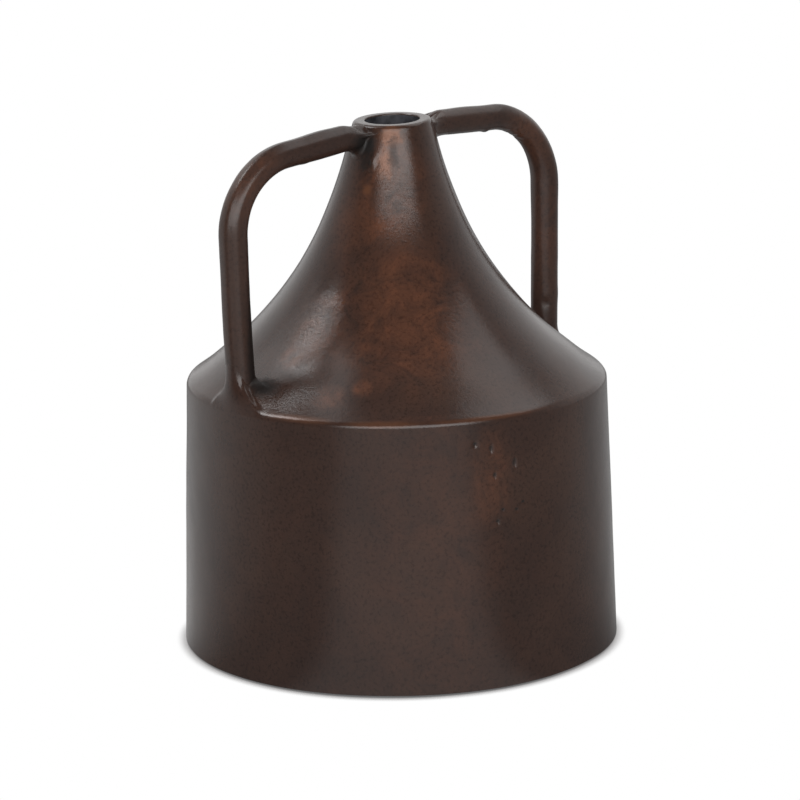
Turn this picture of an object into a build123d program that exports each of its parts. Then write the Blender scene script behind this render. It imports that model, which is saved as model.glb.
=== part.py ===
"""Two-handled urn vase in cast metal, built the way it is made.

A drum and a flared shoulder are two castings, joined by a weld along the shoulder edge.
A base plate closes the drum from below and stands on four rubber feet.
Two rod handles are coped to the shoulder and the neck, and each end has its own weld.

Frame: +Z up, origin on the table under the middle of the drum, handles along X.
All sizes are in millimetres.
"""

import os
from math import sqrt

from build123d import *

os.makedirs("parts", exist_ok=True)

# Outside form
base_diameter = 254.0  # drum across its bottom rim
shoulder_diameter = 243.6  # drum across the shoulder edge
shoulder_height = 156.0  # shoulder edge above the table
mouth_height = 306.0  # flat of the lip above the table
lip_diameter = 46.6  # neck across the lip, before its edge is rounded
flare_radius = 222.0  # concave sweep from the lip down to the shoulder edge
lip_round = 3.0  # outer edge of the lip
bore_round = 0.8  # inner edge of the lip
crease_round = 2.0  # shoulder edge, as dressed after welding

# Walls
wall = 5.0  # drum and shoulder
mouth_bore = 31.7  # straight throat
throat_depth = 18.0  # length of the straight throat
throat_taper = 17.0  # height over which the throat opens out to the shoulder's inside

# Shoulder joint
seam_leg = 5.0  # reach of the weld each way from the shoulder edge
seam_depth = 3.0  # from the shoulder edge down to the seat
seat_land = 2.0  # flat of the drum that carries the shoulder
spigot_depth = 6.0  # lip of the shoulder that drops into the drum
spigot_wall = 3.5
fit_gap = 0.15  # slip fit between pieces, on the radius

# Base
rim_lift = 1.0  # drum rim above the table, carried by the feet
rim_round = 1.2  # edges of the drum rim
base_ledge = 2.0  # step in the drum wall that the base plate seats against
base_recess = 2.5  # base plate above the drum rim
base_thickness = 5.0
base_weld_leg = 1.8
foot_count = 4
foot_diameter = 18.0
foot_inset = 31.0  # middle of a foot from the edge of the base plate
foot_angle = 45.0  # first foot, turned from the line of the handles
foot_round = 1.2

# Handles
rod_diameter = 15.2
rod_inset = 8.2  # middle of the upright from the shoulder edge, at its foot
left_lean = 1.8  # outward lean of the upright, from its foot to the corner
right_lean = 1.2
bend_radius = 42.0  # on the middle of the rod
neck_drop = 6.0  # middle of the rod under the lip, where it meets the neck
left_corner_drop = 14.8  # corner where the upright and the top run would cross, under the lip
right_corner_drop = 9.8
foot_weld_radius = 7.0  # hollow of the weld at the foot of a handle
neck_weld_radius = 5.0  # hollow of the weld at the neck
weld_gap = 0.05  # between these welds and what they join

# Sizes that follow
base_radius = base_diameter / 2
shoulder_radius = shoulder_diameter / 2
lip_radius = lip_diameter / 2
bore_radius = mouth_bore / 2
rod_radius = rod_diameter / 2
lip_width = lip_radius - bore_radius
rim_width = wall - base_ledge
seat_height = shoulder_height - seam_depth
base_underside = rim_lift + base_recess
base_top = base_underside + base_thickness

# The flare is one arc from the lip to the crease, centred outside the vase
lip = (lip_radius, mouth_height)
crease = (shoulder_radius, shoulder_height)
flare_chord = Vector(crease) - Vector(lip)
chord_normal = Vector(-flare_chord.Y, flare_chord.X).normalized()
chord_to_centre = sqrt(flare_radius**2 - (flare_chord.length / 2) ** 2)
flare_centre = Vector(lip) + flare_chord / 2 + chord_normal * chord_to_centre


def flare_radius_at(height, depth=0.0):
    """Distance from the vase axis to the flare, or to a surface that lies depth under it."""
    rise = flare_centre.Y - height
    return flare_centre.X - sqrt((flare_radius + depth) ** 2 - rise**2)


def flare_height_at(radius, depth=0.0):
    """Height of the flare, or of a surface that lies depth under it."""
    run = flare_centre.X - radius
    return flare_centre.Y - sqrt((flare_radius + depth) ** 2 - run**2)


def flare_arc(top, bottom, depth=0.0):
    """Arc of the flare, or of a surface that lies depth under it, between two of its points."""
    middle_height = (top[1] + bottom[1]) / 2
    return ThreePointArc(top, (flare_radius_at(middle_height, depth), middle_height), bottom)


def drum_radius_at(height):
    """Outside of the drum, which narrows a little from its rim to the shoulder edge."""
    share = (height - rim_lift) / (shoulder_height - rim_lift)
    return base_radius + share * (shoulder_radius - base_radius)


# Points and radii that two or more pieces share
seam_low = (drum_radius_at(shoulder_height - seam_leg), shoulder_height - seam_leg)
seam_high = (shoulder_radius - seam_leg, flare_height_at(shoulder_radius - seam_leg))
drum_mouth_radius = drum_radius_at(seat_height) - wall
seam_root = (drum_mouth_radius + seat_land, seat_height)
ledge_radius = drum_radius_at(base_top) - wall
rebate_radius = ledge_radius + base_ledge

# Drum: the side wall, with a seat at the top for the shoulder and a rebate below for the base plate
with BuildPart() as drum:
    with BuildSketch(Plane.XZ):
        with BuildLine():
            Polyline(
                (base_radius, rim_lift),
                seam_low,
                seam_root,
                (drum_mouth_radius, seat_height),
                (ledge_radius, base_top),
                (rebate_radius, base_top),
                (rebate_radius, rim_lift),
                close=True,
            )
        make_face()
    revolve(axis=Axis.Z)
    rim = drum.faces().filter_by(GeomType.PLANE).sort_by(Axis.Z)[0]
    fillet(rim.edges(), min(rim_round, 0.45 * rim_width))
drum.part.label = "drum"
export_step(drum.part, "parts/drum.step")

# Shoulder and neck: one shell, from the spigot that drops into the drum up to the lip
spigot_radius = drum_mouth_radius - fit_gap
spigot_inside = spigot_radius - spigot_wall
spigot_end = seat_height - spigot_depth
inside_bottom = (spigot_inside, flare_height_at(spigot_inside, wall))
throat_end = mouth_height - throat_depth
inside_top = (flare_radius_at(throat_end - throat_taper, wall), throat_end - throat_taper)

with BuildPart() as shoulder_and_neck:
    with BuildSketch(Plane.XZ):
        with BuildLine():
            flare_arc(lip, seam_high)
            Polyline(
                seam_high,
                seam_root,
                (spigot_radius, seat_height),
                (spigot_radius, spigot_end),
                (spigot_inside, spigot_end),
                inside_bottom,
            )
            flare_arc(inside_top, inside_bottom, wall)
            Polyline(inside_top, (bore_radius, throat_end), (bore_radius, mouth_height), lip)
        make_face()
    revolve(axis=Axis.Z)
    lip_flat = shoulder_and_neck.faces().filter_by(GeomType.PLANE).sort_by(Axis.Z)[-1]
    fillet(lip_flat.outer_wire().edges(), min(lip_round, 0.6 * lip_width))
    lip_flat = shoulder_and_neck.faces().filter_by(GeomType.PLANE).sort_by(Axis.Z)[-1]
    fillet(lip_flat.inner_wires().edges(), min(bore_round, 0.3 * lip_width))
shoulder_and_neck.part.label = "shoulder_and_neck"
export_step(shoulder_and_neck.part, "parts/shoulder_and_neck.step")

# Weld along the shoulder edge, dressed to a soft crease
with BuildPart() as shoulder_seam_weld:
    with BuildSketch(Plane.XZ) as seam_section:
        with BuildLine():
            flare_arc(seam_high, crease)
            Polyline(crease, seam_low, seam_root, seam_high)
        make_face()
        fillet(seam_section.vertices().sort_by_distance(crease)[0], crease_round)
    revolve(axis=Axis.Z)
shoulder_seam_weld.part.label = "shoulder_seam_weld"
export_step(shoulder_seam_weld.part, "parts/shoulder_seam_weld.step")

# Base plate, let into the drum from below
with BuildPart() as base_plate:
    with BuildSketch(Plane.XY.offset(base_underside)):
        Circle(rebate_radius - fit_gap)
    extrude(amount=base_thickness)
base_plate.part.label = "base_plate"
export_step(base_plate.part, "parts/base_plate.step")

# Weld that holds the base plate, in the corner under its edge
with BuildPart() as base_seam_weld:
    with BuildSketch(Plane.XZ):
        Polygon(
            (rebate_radius, base_underside),
            (rebate_radius - base_weld_leg, base_underside),
            (rebate_radius, base_underside - base_weld_leg),
            align=None,
        )
    revolve(axis=Axis.Z)
base_seam_weld.part.label = "base_seam_weld"
export_step(base_seam_weld.part, "parts/base_seam_weld.step")

# Rubber feet, stuck to the base plate and standing out below the drum rim
foot_places = PolarLocations(rebate_radius - foot_inset, foot_count, start_angle=foot_angle)
for number, place in enumerate(foot_places, start=1):
    with BuildPart() as rubber_foot:
        with BuildSketch(Plane(place.position).offset(base_underside)):
            Circle(foot_diameter / 2)
        extrude(amount=-base_underside)
        tread = rubber_foot.faces().sort_by(Axis.Z)[0]
        fillet(tread.edges(), foot_round)
    rubber_foot.part.label = f"rubber_foot_{number}"
    export_step(rubber_foot.part, f"parts/rubber_foot_{number}.step")

# The handles are fitted to the flare, carried on past the lip and the shoulder edge
form_top = mouth_height + rod_diameter
form_reach = shoulder_radius + 2 * rod_diameter
form_floor = flare_height_at(form_reach) - rod_diameter


def flare_solid(depth=0.0):
    """Everything under the flare, or under a surface that lies depth under it."""
    form_lip = (flare_radius_at(form_top, depth), form_top)
    form_edge = (form_reach, flare_height_at(form_reach, depth))
    with BuildPart() as solid:
        with BuildSketch(Plane.YZ):
            with BuildLine():
                flare_arc(form_lip, form_edge, depth)
                Polyline(form_edge, (form_reach, form_floor), (0, form_floor), (0, form_top), form_lip)
            make_face()
        revolve(axis=Axis.Z)
    return solid.part


def rod_weld(start, towards, hollow_radius):
    """Hollow fillet round a rod that leaves the flare from a point inside it, straight towards another."""
    origin = Vector(start[0], 0, start[1])
    run = Vector(towards[0], 0, towards[1]) - origin
    rod_end = Plane(origin=origin, z_dir=run)
    with BuildPart() as ring:
        add(flare_form)
        with BuildSketch(rod_end):
            Circle(rod_radius)
        extrude(amount=run.length)
        joint_line = ring.edges(Select.LAST).filter_by(GeomType.BSPLINE)
        fillet(joint_line, hollow_radius)
        add(weld_seat_form, mode=Mode.SUBTRACT)
        with BuildSketch(rod_end):
            Circle(rod_radius + weld_gap)
        extrude(amount=run.length, mode=Mode.SUBTRACT)
    return ring.part


flare_form = flare_solid()
weld_seat_form = flare_solid(-weld_gap)

# Handles: a rod bent once, from the shoulder up, round and in to the neck, and its two welds
foot_reach = shoulder_radius - rod_inset
neck_height = mouth_height - neck_drop
neck_reach = flare_radius_at(neck_height)
handle_sizes = (
    ("left", -1, left_lean, left_corner_drop),
    ("right", 1, right_lean, right_corner_drop),
)

for name, side, lean, corner_drop in handle_sizes:
    corner_reach = foot_reach + lean
    corner_height = mouth_height - corner_drop
    rise_per_run = (neck_height - corner_height) / (corner_reach - neck_reach)
    rod_foot = (side * foot_reach, shoulder_height - rod_radius)
    rod_corner = (side * corner_reach, corner_height)
    rod_end = (0, corner_height + corner_reach * rise_per_run)

    with BuildPart() as handle:
        with BuildLine(Plane.XZ) as middle_line:
            FilletPolyline(rod_foot, rod_corner, rod_end, radius=bend_radius)
        with BuildSketch(Plane((rod_foot[0], 0, rod_foot[1]))):
            Circle(rod_radius)
        sweep(path=middle_line.line)
        add(flare_form, mode=Mode.SUBTRACT)
    handle.part.label = f"{name}_handle"
    export_step(handle.part, f"parts/{name}_handle.step")

    foot_ring = rod_weld(rod_foot, rod_corner, foot_weld_radius)
    with BuildPart() as foot_weld:
        add(foot_ring)
        with BuildSketch(Plane.XY.offset(form_floor)):
            Circle(shoulder_radius)
        extrude(amount=form_top - form_floor, mode=Mode.INTERSECT)
    foot_weld.part.label = f"{name}_foot_weld"
    export_step(foot_weld.part, f"parts/{name}_foot_weld.step")

    neck_ring = rod_weld(rod_end, rod_corner, neck_weld_radius)
    with BuildPart() as neck_weld:
        add(neck_ring)
        split(bisect_by=Plane.XY.offset(mouth_height), keep=Keep.BOTTOM)
    neck_weld.part.label = f"{name}_neck_weld"
    export_step(neck_weld.part, f"parts/{name}_neck_weld.step")
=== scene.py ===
# %% [markdown]
# # An urn vase in patinated cast metal
#
# The vase is a wide drum, a concave shoulder that sweeps up to a narrow neck, and two rod handles
# that were bent and welded on. The metal is cast, so nothing on it is quite true: walls wave a
# little, rods have a parting line, welds are dressed by hand, and a dark brown patina lies over it
# all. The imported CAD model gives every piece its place. This lesson makes the skin that the eye sees.

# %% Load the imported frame
from math import atan2, pi, radians, sqrt, tan

import bmesh
import bpy
import numpy as np
from mathutils import Matrix, Vector, noise


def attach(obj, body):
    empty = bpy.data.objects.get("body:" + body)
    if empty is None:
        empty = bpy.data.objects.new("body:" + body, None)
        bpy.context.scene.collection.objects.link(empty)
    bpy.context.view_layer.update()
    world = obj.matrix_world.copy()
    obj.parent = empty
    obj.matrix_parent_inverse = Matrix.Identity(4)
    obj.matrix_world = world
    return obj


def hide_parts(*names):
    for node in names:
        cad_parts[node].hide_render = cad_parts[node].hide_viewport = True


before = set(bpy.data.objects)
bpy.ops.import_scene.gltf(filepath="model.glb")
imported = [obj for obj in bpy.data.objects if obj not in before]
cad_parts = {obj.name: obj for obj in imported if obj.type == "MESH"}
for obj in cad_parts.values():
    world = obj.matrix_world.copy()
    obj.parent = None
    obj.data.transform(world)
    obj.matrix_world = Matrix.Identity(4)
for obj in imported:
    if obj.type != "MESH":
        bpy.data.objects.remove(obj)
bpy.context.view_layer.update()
print("nodes in the frame:", ", ".join(sorted(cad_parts)))

# %% [markdown]
# ## The outer skin as one line
#
# Drum, weld and shoulder are three pieces, but a hand runs over them as one surface. They could be
# drawn apart and lined up afterwards. It is safer to draw one line from the mouth to the foot rim
# and let each piece take its own stretch of it, because then the pieces meet by themselves.
# Lengths are in millimetres, as on a workshop drawing, and become metres when a mesh is made.

# %% Draw the outline from the mouth to the foot rim
MM = 0.001
BASE_RADIUS, SHOULDER_RADIUS, LIP_RADIUS, BORE_RADIUS = 127.0, 121.8, 23.3, 15.85
RIM_HEIGHT, SHOULDER_HEIGHT, MOUTH_HEIGHT = 1.0, 156.0, 306.0
FLARE_RADIUS = 222.0
WALL = 5.0

lip = np.array([LIP_RADIUS, MOUTH_HEIGHT])
crease = np.array([SHOULDER_RADIUS, SHOULDER_HEIGHT])
chord = crease - lip
half_chord = np.linalg.norm(chord) / 2
chord_normal = np.array([-chord[1], chord[0]]) / (2 * half_chord)
flare_centre = (lip + crease) / 2 + chord_normal * sqrt(FLARE_RADIUS**2 - half_chord**2)


def flare_radius_at(height, depth=0.0):
    """Distance from the axis to the flare, or to a surface that lies depth under it."""
    rise = flare_centre[1] - height
    return flare_centre[0] - np.sqrt((FLARE_RADIUS + depth) ** 2 - rise**2)


def flare_height_at(radius, depth=0.0):
    """Height of the flare, or of a surface that lies depth under it."""
    run = flare_centre[0] - radius
    return flare_centre[1] - np.sqrt((FLARE_RADIUS + depth) ** 2 - run**2)


def drum_radius_at(height):
    """Outside of the drum, which narrows a little towards the shoulder."""
    share = (height - RIM_HEIGHT) / (SHOULDER_HEIGHT - RIM_HEIGHT)
    return BASE_RADIUS + share * (SHOULDER_RADIUS - BASE_RADIUS)


def unit(vectors):
    """Vectors brought to length 1."""
    return vectors / np.linalg.norm(vectors, axis=-1, keepdims=True)


def full_turn(count):
    """Angles once round, in even steps."""
    return np.linspace(0, 2 * pi, count, endpoint=False)


def hill(away, width):
    """Smooth hill of height 1 that falls off within a width."""
    return np.exp(-((away / width) ** 2))


def soft_corner(start, corner, end, count=14):
    """Points on a curve that rounds a corner between two points of its sides."""
    share = np.linspace(0, 1, count)[:, None]
    start, corner, end = map(np.array, (start, corner, end))
    return (1 - share) ** 2 * start + 2 * share * (1 - share) * corner + share**2 * end


LIP_ROUND, BORE_ROUND, CREASE_ROUND, RIM_ROUND = 2.2, 0.8, 2.5, 1.2
LIP_DRAW, LIP_DRAW_RUN = 0.9, 7.0  # the lip was dressed a little smaller than drawn
LIP_TILT, TILT_RUN = 0.033, 14.0  # and the mouth is out of level, higher on the right
flare_heights = np.linspace(MOUTH_HEIGHT - LIP_ROUND, flare_height_at(SHOULDER_RADIUS - CREASE_ROUND), 700)
drawn_in_by = LIP_DRAW * hill(MOUTH_HEIGHT - flare_heights, LIP_DRAW_RUN)
flare_line = np.stack([flare_radius_at(flare_heights) - drawn_in_by, flare_heights], axis=1)
lip_corner = lip - (LIP_DRAW, 0)
wall_heights = np.linspace(SHOULDER_HEIGHT - CREASE_ROUND, RIM_HEIGHT + RIM_ROUND, 400)
wall_line = np.stack([drum_radius_at(wall_heights), wall_heights], axis=1)

skin_line = np.vstack([
    soft_corner((BORE_RADIUS, MOUTH_HEIGHT - BORE_ROUND), (BORE_RADIUS, MOUTH_HEIGHT),
                (BORE_RADIUS + BORE_ROUND, MOUTH_HEIGHT)),
    soft_corner(lip_corner - (LIP_ROUND, 0), lip_corner, flare_line[0])[:-1],
    flare_line[:-1],
    soft_corner(flare_line[-1], crease, wall_line[0])[:-1],
    wall_line[:-1],
    soft_corner(wall_line[-1], (BASE_RADIUS, RIM_HEIGHT), (BASE_RADIUS - RIM_ROUND, RIM_HEIGHT)),
])
steps = np.linalg.norm(np.diff(skin_line, axis=0), axis=1)
skin_length = np.concatenate([[0], np.cumsum(steps)])
along_skin = unit(np.gradient(skin_line, skin_length, axis=0))
skin_normal = np.stack([-along_skin[:, 1], along_skin[:, 0]], axis=1)


def length_at_height(height):
    """How far along the skin line a height lies."""
    return float(np.interp(-height, -skin_line[:, 1], skin_length))


print(f"the skin line is {skin_length[-1]:.0f} mm long from mouth to foot rim")

# %% [markdown]
# ## Cast metal is never quite true
#
# On the real vase the walls wave by a few tenths of a millimetre, a few gas pits are left on the
# drum, and a run of weld hangs under the left handle. A bump texture could fake this, but pits and
# runs break the outline of a highlight, so they are real relief here: one function says how far the
# skin stands out at any place, and every piece that touches the skin asks it.

# %% Relief of the cast skin
BROAD_WAVE, BROAD_REACH = 0.30, 62.0
FINE_WAVE, FINE_REACH = 0.10, 17.0


def skin_place(azimuth, height):
    """Point of the plain skin at an azimuth in degrees and a height."""
    radius = np.interp(length_at_height(height), skin_length, skin_line[:, 0])
    turn = radians(azimuth)
    return np.array([radius * np.cos(turn), radius * np.sin(turn), height])


# Place, half width, half height and relief of each mark
pits = [
    (-108.5, 142.2, 1.4, 1.3, -0.6), (-104.0, 138.8, 1.1, 2.4, -0.75), (-97.0, 128.8, 1.3, 3.2, -0.9),
    (-103.1, 123.2, 0.9, 1.9, -0.6), (-96.8, 101.8, 1.6, 1.2, -0.6), (-102.6, 96.8, 1.0, 1.6, -0.6),
    (-101.0, 103.0, 0.9, 1.0, -0.4), (-94.8, 105.6, 0.8, 1.0, -0.4),
]
weld_runs = [(-152.8, 285.6, 1.5, 3.2, 0.85), (-149.5, 289.5, 2.2, 2.6, 0.4), (-158.5, 281.5, 2.4, 2.2, 0.3)]
# Height, half height and relief of the two places where the casting is a little full
full_places = [(262.0, 20.0, 0.5), (171.0, 7.0, 0.45)]
marks = [(skin_place(azimuth, height), *shape) for azimuth, height, *shape in pits + weld_runs]


def wave(points, reach):
    """Smooth noise between -1 and 1 whose hills are about reach millimetres apart."""
    flat = points.reshape(-1, 3) / reach
    return np.array([noise.noise(Vector(place)) for place in flat]).reshape(points.shape[:-1])


def relief(points):
    """How far the cast skin stands out at these points, in millimetres."""
    lift = BROAD_WAVE * wave(points, BROAD_REACH) + FINE_WAVE * wave(points, FINE_REACH)
    for height, half_height, fullness in full_places:
        lift = lift + fullness * hill(points[..., 2] - height, half_height)
    for centre, half_width, half_height, height in marks:
        offset = points - centre
        across = np.hypot(offset[..., 0], offset[..., 1]) / half_width
        upward = offset[..., 2] / half_height
        lift = lift + height * np.exp(-(across**2 + upward**2))
    return lift


def skin_points(lengths, azimuths):
    """Points and outward directions of the cast skin; lengths and azimuths (radians) share a shape."""
    lines = (*skin_line.T, *skin_normal.T)
    radius, height, out, up = (np.interp(lengths, skin_length, line) for line in lines)
    cosine, sine = np.cos(azimuths), np.sin(azimuths)
    plain = np.stack([radius * cosine, radius * sine, height], axis=-1)
    normal = np.stack([out * cosine, out * sine, up], axis=-1)
    points = plain + normal * relief(plain)[..., None]
    near_lip = np.clip((height - MOUTH_HEIGHT + TILT_RUN) / TILT_RUN, 0, 1)
    points[..., 2] += LIP_TILT * plain[..., 0] * near_lip
    return points, normal


print(f"{len(pits)} casting pits and {len(weld_runs)} weld runs are in the relief")

# %% [markdown]
# ## Meshes from rings
#
# A lathe part, a rod and a weld collar are all rows of rings. Blender's Screw modifier would turn a
# profile into a lathe part, but not one with pits, and not a collar whose rings leave a rod and land
# on a curved wall. So one helper takes rows of rings and joins them with quads. A closed piece joins
# its last ring to its first, as a hoop does, and an open one gets a cap at each end.

# %% Helper that joins rings into a piece
def add_object(name, data):
    """New object in the scene."""
    thing = bpy.data.objects.new(name, data)
    bpy.context.scene.collection.objects.link(thing)
    return thing


def ring_piece(name, rings, nodes, hoop=True, inside_from=None, smooth_angle=35.0):
    """Named mesh piece from rows of rings in millimetres, riding on the vase and standing for nodes.

    Faces after the row inside_from are the inside of a hollow piece and take its second material.
    """
    row_count, column_count, _ = rings.shape
    index = np.arange(row_count * column_count).reshape(row_count, column_count)
    rows = np.vstack([index, index[:1]]) if hoop else index
    beside = np.roll(rows, -1, axis=1)
    faces = np.stack([rows[:-1], beside[:-1], beside[1:], rows[1:]], axis=-1).reshape(-1, 4).tolist()
    if not hoop:
        faces += [index[0][::-1].tolist(), index[-1].tolist()]
    mesh = bpy.data.meshes.new(name)
    mesh.from_pydata((rings.reshape(-1, 3) * MM).tolist(), [], faces)
    if inside_from is not None:
        for face in mesh.polygons[inside_from * column_count:]:
            face.material_index = 1
    tidy = bmesh.new()
    tidy.from_mesh(mesh)
    bmesh.ops.recalc_face_normals(tidy, faces=tidy.faces)
    tidy.to_mesh(mesh)
    tidy.free()
    mesh.shade_smooth()
    mesh.set_sharp_from_angle(angle=radians(smooth_angle))
    piece = add_object(name, mesh)
    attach(piece, "root")
    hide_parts(*nodes)
    print(f"{name}: {len(mesh.vertices)} points, {len(mesh.polygons)} faces")
    return piece


def spans(*stretches):
    """Places along a line from stretches of (start, end, step), each shared end taken once."""
    places = [np.linspace(start, end, max(2, int(round((end - start) / step)) + 1))
              for start, end, step in stretches]
    return np.unique(np.round(np.concatenate(places), 4))


def turned(profile, azimuths):
    """Plain rings from a profile of (radius, height) points."""
    radius, height = np.array(profile).T[..., None]
    flat = np.zeros_like(azimuths)
    return np.stack([radius * np.cos(azimuths), radius * np.sin(azimuths), height + flat], axis=-1)


# %% [markdown]
# ## Drum, shoulder weld and shoulder
#
# These are three hoops of metal. Each has its stretch of the skin outside and a plain turned inside
# with the seat, spigot and rebate that the workshop drawing gives. The columns are close together
# where the pits are, so that each pit has enough faces to be round, and wider elsewhere.

# %% Columns and the three stretches of the skin
PIT_ZONE = (-111.0, -94.0)
columns = np.radians(spans((*PIT_ZONE, 0.3), (PIT_ZONE[1], PIT_ZONE[0] + 360, 1.2))[:-1])

SEAM_LEG, SEAM_DEPTH, SEAT_LAND, CREASE_LIFT = 5.0, 3.0, 2.0, 0.4
seam_high = length_at_height(flare_height_at(SHOULDER_RADIUS - SEAM_LEG))
seam_low = length_at_height(SHOULDER_HEIGHT - SEAM_LEG)
crease_length = length_at_height(SHOULDER_HEIGHT + CREASE_LIFT)
seat_height = SHOULDER_HEIGHT - SEAM_DEPTH
drum_mouth_radius = drum_radius_at(seat_height) - WALL
seam_root = (drum_mouth_radius + SEAT_LAND, seat_height)


def skin_rings(lengths):
    """Rings of the cast skin at these places along the skin line."""
    return skin_points(*np.meshgrid(lengths, columns, indexing="ij"))[0]


print(f"{len(columns)} columns, seam from {seam_high:.0f} to {seam_low:.0f} mm along the skin")

# %% Turn the shoulder and neck
SPIGOT_WALL, SPIGOT_DEPTH, FIT_GAP = 3.5, 6.0, 0.15
THROAT_DEPTH, THROAT_TAPER = 18.0, 17.0
spigot_radius = drum_mouth_radius - FIT_GAP
spigot_inside = spigot_radius - SPIGOT_WALL
throat_end = MOUTH_HEIGHT - THROAT_DEPTH
inside_heights = np.linspace(flare_height_at(spigot_inside, WALL), throat_end - THROAT_TAPER, 40)
shoulder_inside = [
    seam_root,
    (spigot_radius, seat_height),
    (spigot_radius, seat_height - SPIGOT_DEPTH),
    (spigot_inside, seat_height - SPIGOT_DEPTH),
    *zip(flare_radius_at(inside_heights, WALL), inside_heights),
    *[(BORE_RADIUS, height) for height in np.linspace(throat_end, MOUTH_HEIGHT - 2, 12)],
]
LIP_END, NECK_END = 14.0, 60.0
shoulder_lengths = spans((0, LIP_END, 0.4), (LIP_END, NECK_END, 1.0), (NECK_END, seam_high, 2.2))
shoulder_rings = np.concatenate([skin_rings(shoulder_lengths), turned(shoulder_inside, columns)])
# The lower edge turns by little more than 30 degrees, and has to stay an edge
shoulder = ring_piece("shoulder_casting", shoulder_rings, ["shoulder_and_neck"],
                      inside_from=len(shoulder_lengths) - 1, smooth_angle=24.0)

# %% Turn the weld along the shoulder edge
SEAM_TOE = 3.0
toe_high, toe_low = seam_high + SEAM_TOE, seam_low - SEAM_TOE
seam_lengths = spans((seam_high, toe_high, 1.0), (toe_high, toe_low, 0.35), (toe_low, seam_low, 1.0))
seam_rings = np.concatenate([skin_rings(seam_lengths), turned([seam_root], columns)])
seam = ring_piece("shoulder_edge_weld", seam_rings, ["shoulder_seam_weld"])

# %% Turn the drum
BASE_RECESS, BASE_THICKNESS, BASE_LEDGE = 2.5, 5.0, 2.0
PIT_HEIGHTS, RIM_STRETCH = (146.0, 93.0), 3.0
INNER_ROUND, INNER_POINTS = 0.9, 5
base_underside = RIM_HEIGHT + BASE_RECESS
base_top = base_underside + BASE_THICKNESS
ledge_radius = drum_radius_at(base_top) - WALL
rebate_radius = ledge_radius + BASE_LEDGE
pits_from, pits_to = map(length_at_height, PIT_HEIGHTS)
rim_start = skin_length[-1] - RIM_STRETCH
drum_lengths = spans((seam_low, pits_from, 1.0), (pits_from, pits_to, 0.7),
                     (pits_to, rim_start, 3.0), (rim_start, skin_length[-1], 0.3))
drum_inside = [
    *soft_corner((rebate_radius + INNER_ROUND, RIM_HEIGHT), (rebate_radius, RIM_HEIGHT),
                 (rebate_radius, RIM_HEIGHT + INNER_ROUND), INNER_POINTS),
    (rebate_radius, base_top),
    (ledge_radius, base_top),
    *[(drum_radius_at(height) - WALL, height) for height in np.linspace(base_top + 12, seat_height, 12)],
    seam_root,
]
drum_rings = np.concatenate([skin_rings(drum_lengths), turned(drum_inside, columns)])
drum = ring_piece("drum_casting", drum_rings, ["drum"],
                  inside_from=len(drum_lengths) + INNER_POINTS)

# %% [markdown]
# ## The rod of a handle
#
# Each handle is one cast rod, up from the shoulder, round one bend and in to the neck. A bevelled
# curve would give a perfect tube, and the real rods are not: a parting line runs along the outer
# side, the flats beside it are hand filed, and flash is left in places. So the rod is swept here with
# a section that changes along its way. The rings at its ends follow the shoulder and the neck.

# %% Middle line of a handle
ROD_RADIUS, BEND_RADIUS, ROD_INSET, NECK_DROP = 7.6, 42.0, 8.2, 6.0
FOOT_REACH = SHOULDER_RADIUS - ROD_INSET
NECK_HEIGHT = MOUTH_HEIGHT - NECK_DROP
LINE_STEP, RUN_ON, FOOT_BOW_RUN = 0.25, 12.0, 48.0


def handle_line(lean, corner_drop, neck_dip, dip_run, foot_bow):
    """Length, reach, height and heading along the middle of a rod, from its foot to the vase axis."""
    foot = np.array([FOOT_REACH, SHOULDER_HEIGHT - ROD_RADIUS])
    corner = np.array([FOOT_REACH + lean, MOUTH_HEIGHT - corner_drop])
    neck = np.array([flare_radius_at(NECK_HEIGHT), NECK_HEIGHT])
    heading_up = atan2(*(corner - foot)[::-1])
    heading_in = atan2(*(neck - corner)[::-1])
    corner_cut = BEND_RADIUS * tan((heading_in - heading_up) / 2)
    bend_start = np.linalg.norm(corner - foot) - corner_cut
    bend_end = bend_start + BEND_RADIUS * (heading_in - heading_up)
    length = np.arange(0, bend_end + np.linalg.norm(neck - corner) - corner_cut + RUN_ON, LINE_STEP)
    heading = np.interp(length, [0, bend_start, bend_end], [heading_up, heading_up, heading_in])
    middle = heading[:-1] + np.diff(heading) / 2
    reach = foot[0] + np.concatenate([[0], np.cumsum(np.cos(middle) * LINE_STEP)])
    height = foot[1] + np.concatenate([[0], np.cumsum(np.sin(middle) * LINE_STEP)])
    near_neck = np.clip((neck[0] + dip_run - reach) / dip_run, 0, 1) * (length > bend_end)
    height = height - neck_dip * near_neck**2 * (3 - 2 * near_neck)
    reach = reach - foot_bow * hill(length, FOOT_BOW_RUN)
    return length, reach, height, heading


handles = {
    "left": {"side": -1, "line": handle_line(1.8, 14.8, 2.9, 13.0, 2.8)},
    "right": {"side": 1, "line": handle_line(1.2, 9.8, 2.0, 11.0, 0.6)},
}
for name, handle in handles.items():
    print(f"{name} handle: {handle['line'][0][-1]:.0f} mm of rod")

# %% [markdown]
# ### The section of the rod
#
# Looked at closely the rod is a circle with soft corners: three by the parting line on the outer side,
# two weaker ones on the inner side, and filed flats between. The angle goes round the rod from the
# outer side, and grows towards the side of the handle that faces -Y. Lumps of flash and small dents
# are added by their place on the vase.

# %% Points on a rod
# Angle, width and height of each soft corner, and how much of it each handle has
RIDGES = [(0.32, 0.28, 0.48), (1.05, 0.36, 0.42), (-0.80, 0.40, 0.35), (2.3, 0.5, 0.25), (-2.3, 0.5, 0.25)]
RIDGE_SHARE = {"left": 1.0, "right": 0.5}
FLAT_DEPTH = 0.16
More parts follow.
